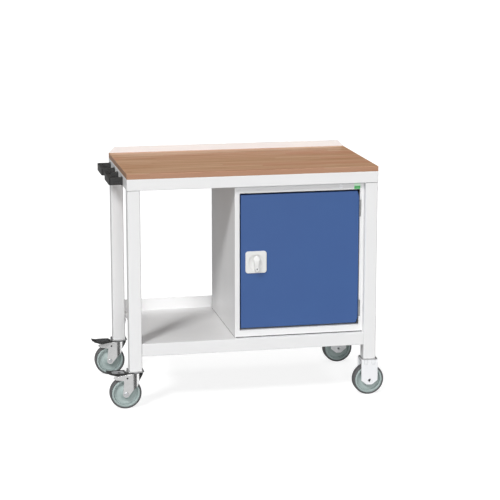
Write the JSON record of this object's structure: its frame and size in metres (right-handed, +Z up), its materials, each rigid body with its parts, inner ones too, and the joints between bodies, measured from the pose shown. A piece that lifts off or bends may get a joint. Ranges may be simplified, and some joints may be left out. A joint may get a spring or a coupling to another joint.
{
  "type": "mobile workbench",
  "caption": "Mobile workbench: wooden top on a steel frame, one lockable cupboard, open shelf bay, push handles, braked swivel and fixed castors.",
  "frame": {"origin": "on the floor, under the middle of the whole outline, castors and pedals included", "axes": "+Z up, +X to the right along the worktop's length, -Y towards the user at the door"},
  "size_m": [1.1245, 0.5638, 0.96],
  "materials": {
    "beech_board": "oiled board, satin",
    "frame_paint": "light grey powder coat, satin",
    "door_paint": "blue powder coat, satin",
    "black_plastic": "moulded black nylon",
    "white_plastic": "moulded, soft gloss",
    "green_plastic": "plain two-tone tab",
    "hinge_steel": "bare steel",
    "zinc_steel": "bright zinc plate",
    "fork_zinc": "pressed, zinc plate",
    "white_zinc": "pale zinc plate, smooth",
    "dark_steel": "black zinc plate",
    "lock_chrome": "polished",
    "tyre_rubber": "dark grey rubber",
    "wheel_plastic": "moulded grey-green nylon"
  },
  "bodies": {
    "root": {"worktop": "beech_board", "front_rail": "frame_paint", "rear_rail": "frame_paint", "left_rail": "frame_paint", "right_rail": "frame_paint", "rear_upstand": "frame_paint", "leg_front_left": "frame_paint", "leg_rear_left": "frame_paint", "leg_front_right": "frame_paint", "leg_rear_right": "frame_paint", "foot_plates": "zinc_steel", "lower_shelf": "frame_paint", "shelf_brackets": "frame_paint", "cabinet_left_side": "frame_paint", "cabinet_right_side": "frame_paint", "cabinet_top": "frame_paint", "cabinet_floor": "frame_paint", "cabinet_back": "frame_paint", "cabinet_shelf": "frame_paint", "shelf_pegs": "zinc_steel", "blanking_plug": "white_plastic", "badge_plate": "green_plastic", "hinge_frame_leaves": "hinge_steel", "push_handle_front": "black_plastic", "push_handle_rear": "black_plastic", "worktop_screws": "zinc_steel", "frame_screws": "zinc_steel", "frame_nuts": "zinc_steel", "castor_top_plates": "dark_steel", "swivel_bearings": "zinc_steel", "castor_bolts": "zinc_steel", "fixed_axles": "zinc_steel", "fixed_fork_front": "white_zinc", "fixed_fork_rear": "white_zinc"},
    "door": {"door_panel": "door_paint", "door_stiffener": "door_paint", "hinge_door_leaves": "hinge_steel", "lock_escutcheon": "white_plastic", "lock_nut": "zinc_steel"},
    "door_handle": {"turn_handle": "white_plastic", "latch_spindle": "zinc_steel", "latch_cam": "zinc_steel"},
    "lock_core": {"lock_cylinder": "lock_chrome"},
    "front_left_castor": {"swivel_fork_front": "fork_zinc", "swivel_axle_front": "zinc_steel"},
    "front_left_brake": {"brake_lever_front": "dark_steel", "brake_pedal_front": "black_plastic"},
    "front_left_wheel": {"swivel_tyre_front": "tyre_rubber", "swivel_wheel_front": "wheel_plastic"},
    "front_right_wheel": {"fixed_tyre_front": "tyre_rubber", "fixed_wheel_front": "wheel_plastic"},
    "rear_left_castor": {"swivel_fork_rear": "fork_zinc", "swivel_axle_rear": "zinc_steel"},
    "rear_left_brake": {"brake_lever_rear": "dark_steel", "brake_pedal_rear": "black_plastic"},
    "rear_left_wheel": {"swivel_tyre_rear": "tyre_rubber", "swivel_wheel_rear": "wheel_plastic"},
    "rear_right_wheel": {"fixed_tyre_rear": "tyre_rubber", "fixed_wheel_rear": "wheel_plastic"}
  },
  "joints": [
    {"name": "door_hinge", "type": "hinge", "parent": "root", "child": "door", "pos_m": [0.459, -0.25, 0.5615], "axis": [0, 0, 1], "range_deg": [0, 110]},
    {"name": "handle_turn", "type": "hinge", "parent": "door", "child": "door_handle", "pos_m": [0.038, -0.25, 0.564], "axis": [0, 1, 0], "range_deg": [0, 90]},
    {"name": "key_turn", "type": "hinge", "parent": "door_handle", "child": "lock_core", "pos_m": [0.038, -0.262, 0.5395], "axis": [0, 1, 0], "range_deg": [0, 90]},
    {"name": "front_left_swivel", "type": "hinge", "parent": "root", "child": "front_left_castor", "pos_m": [-0.4475, -0.2485, 0.145], "axis": [0, 0, 1], "continuous": true},
    {"name": "front_left_brake_press", "type": "hinge", "parent": "front_left_castor", "child": "front_left_brake", "pos_m": [-0.4825, -0.2485, 0.127], "axis": [0, 1, 0], "range_deg": [-9, 0]},
    {"name": "front_left_wheel_spin", "type": "hinge", "parent": "front_left_castor", "child": "front_left_wheel", "pos_m": [-0.4875, -0.2485, 0.0625], "axis": [0, 1, 0], "continuous": true},
    {"name": "front_right_wheel_spin", "type": "hinge", "parent": "root", "child": "front_right_wheel", "pos_m": [0.4995, -0.2485, 0.0625], "axis": [0, 1, 0], "continuous": true},
    {"name": "rear_left_swivel", "type": "hinge", "parent": "root", "child": "rear_left_castor", "pos_m": [-0.4475, 0.2485, 0.145], "axis": [0, 0, 1], "continuous": true},
    {"name": "rear_left_brake_press", "type": "hinge", "parent": "rear_left_castor", "child": "rear_left_brake", "pos_m": [-0.4825, 0.2485, 0.127], "axis": [0, 1, 0], "range_deg": [-9, 0]},
    {"name": "rear_left_wheel_spin", "type": "hinge", "parent": "rear_left_castor", "child": "rear_left_wheel", "pos_m": [-0.4875, 0.2485, 0.0625], "axis": [0, 1, 0], "continuous": true},
    {"name": "rear_right_wheel_spin", "type": "hinge", "parent": "root", "child": "rear_right_wheel", "pos_m": [0.4995, 0.2485, 0.0625], "axis": [0, 1, 0], "continuous": true}
  ]
}
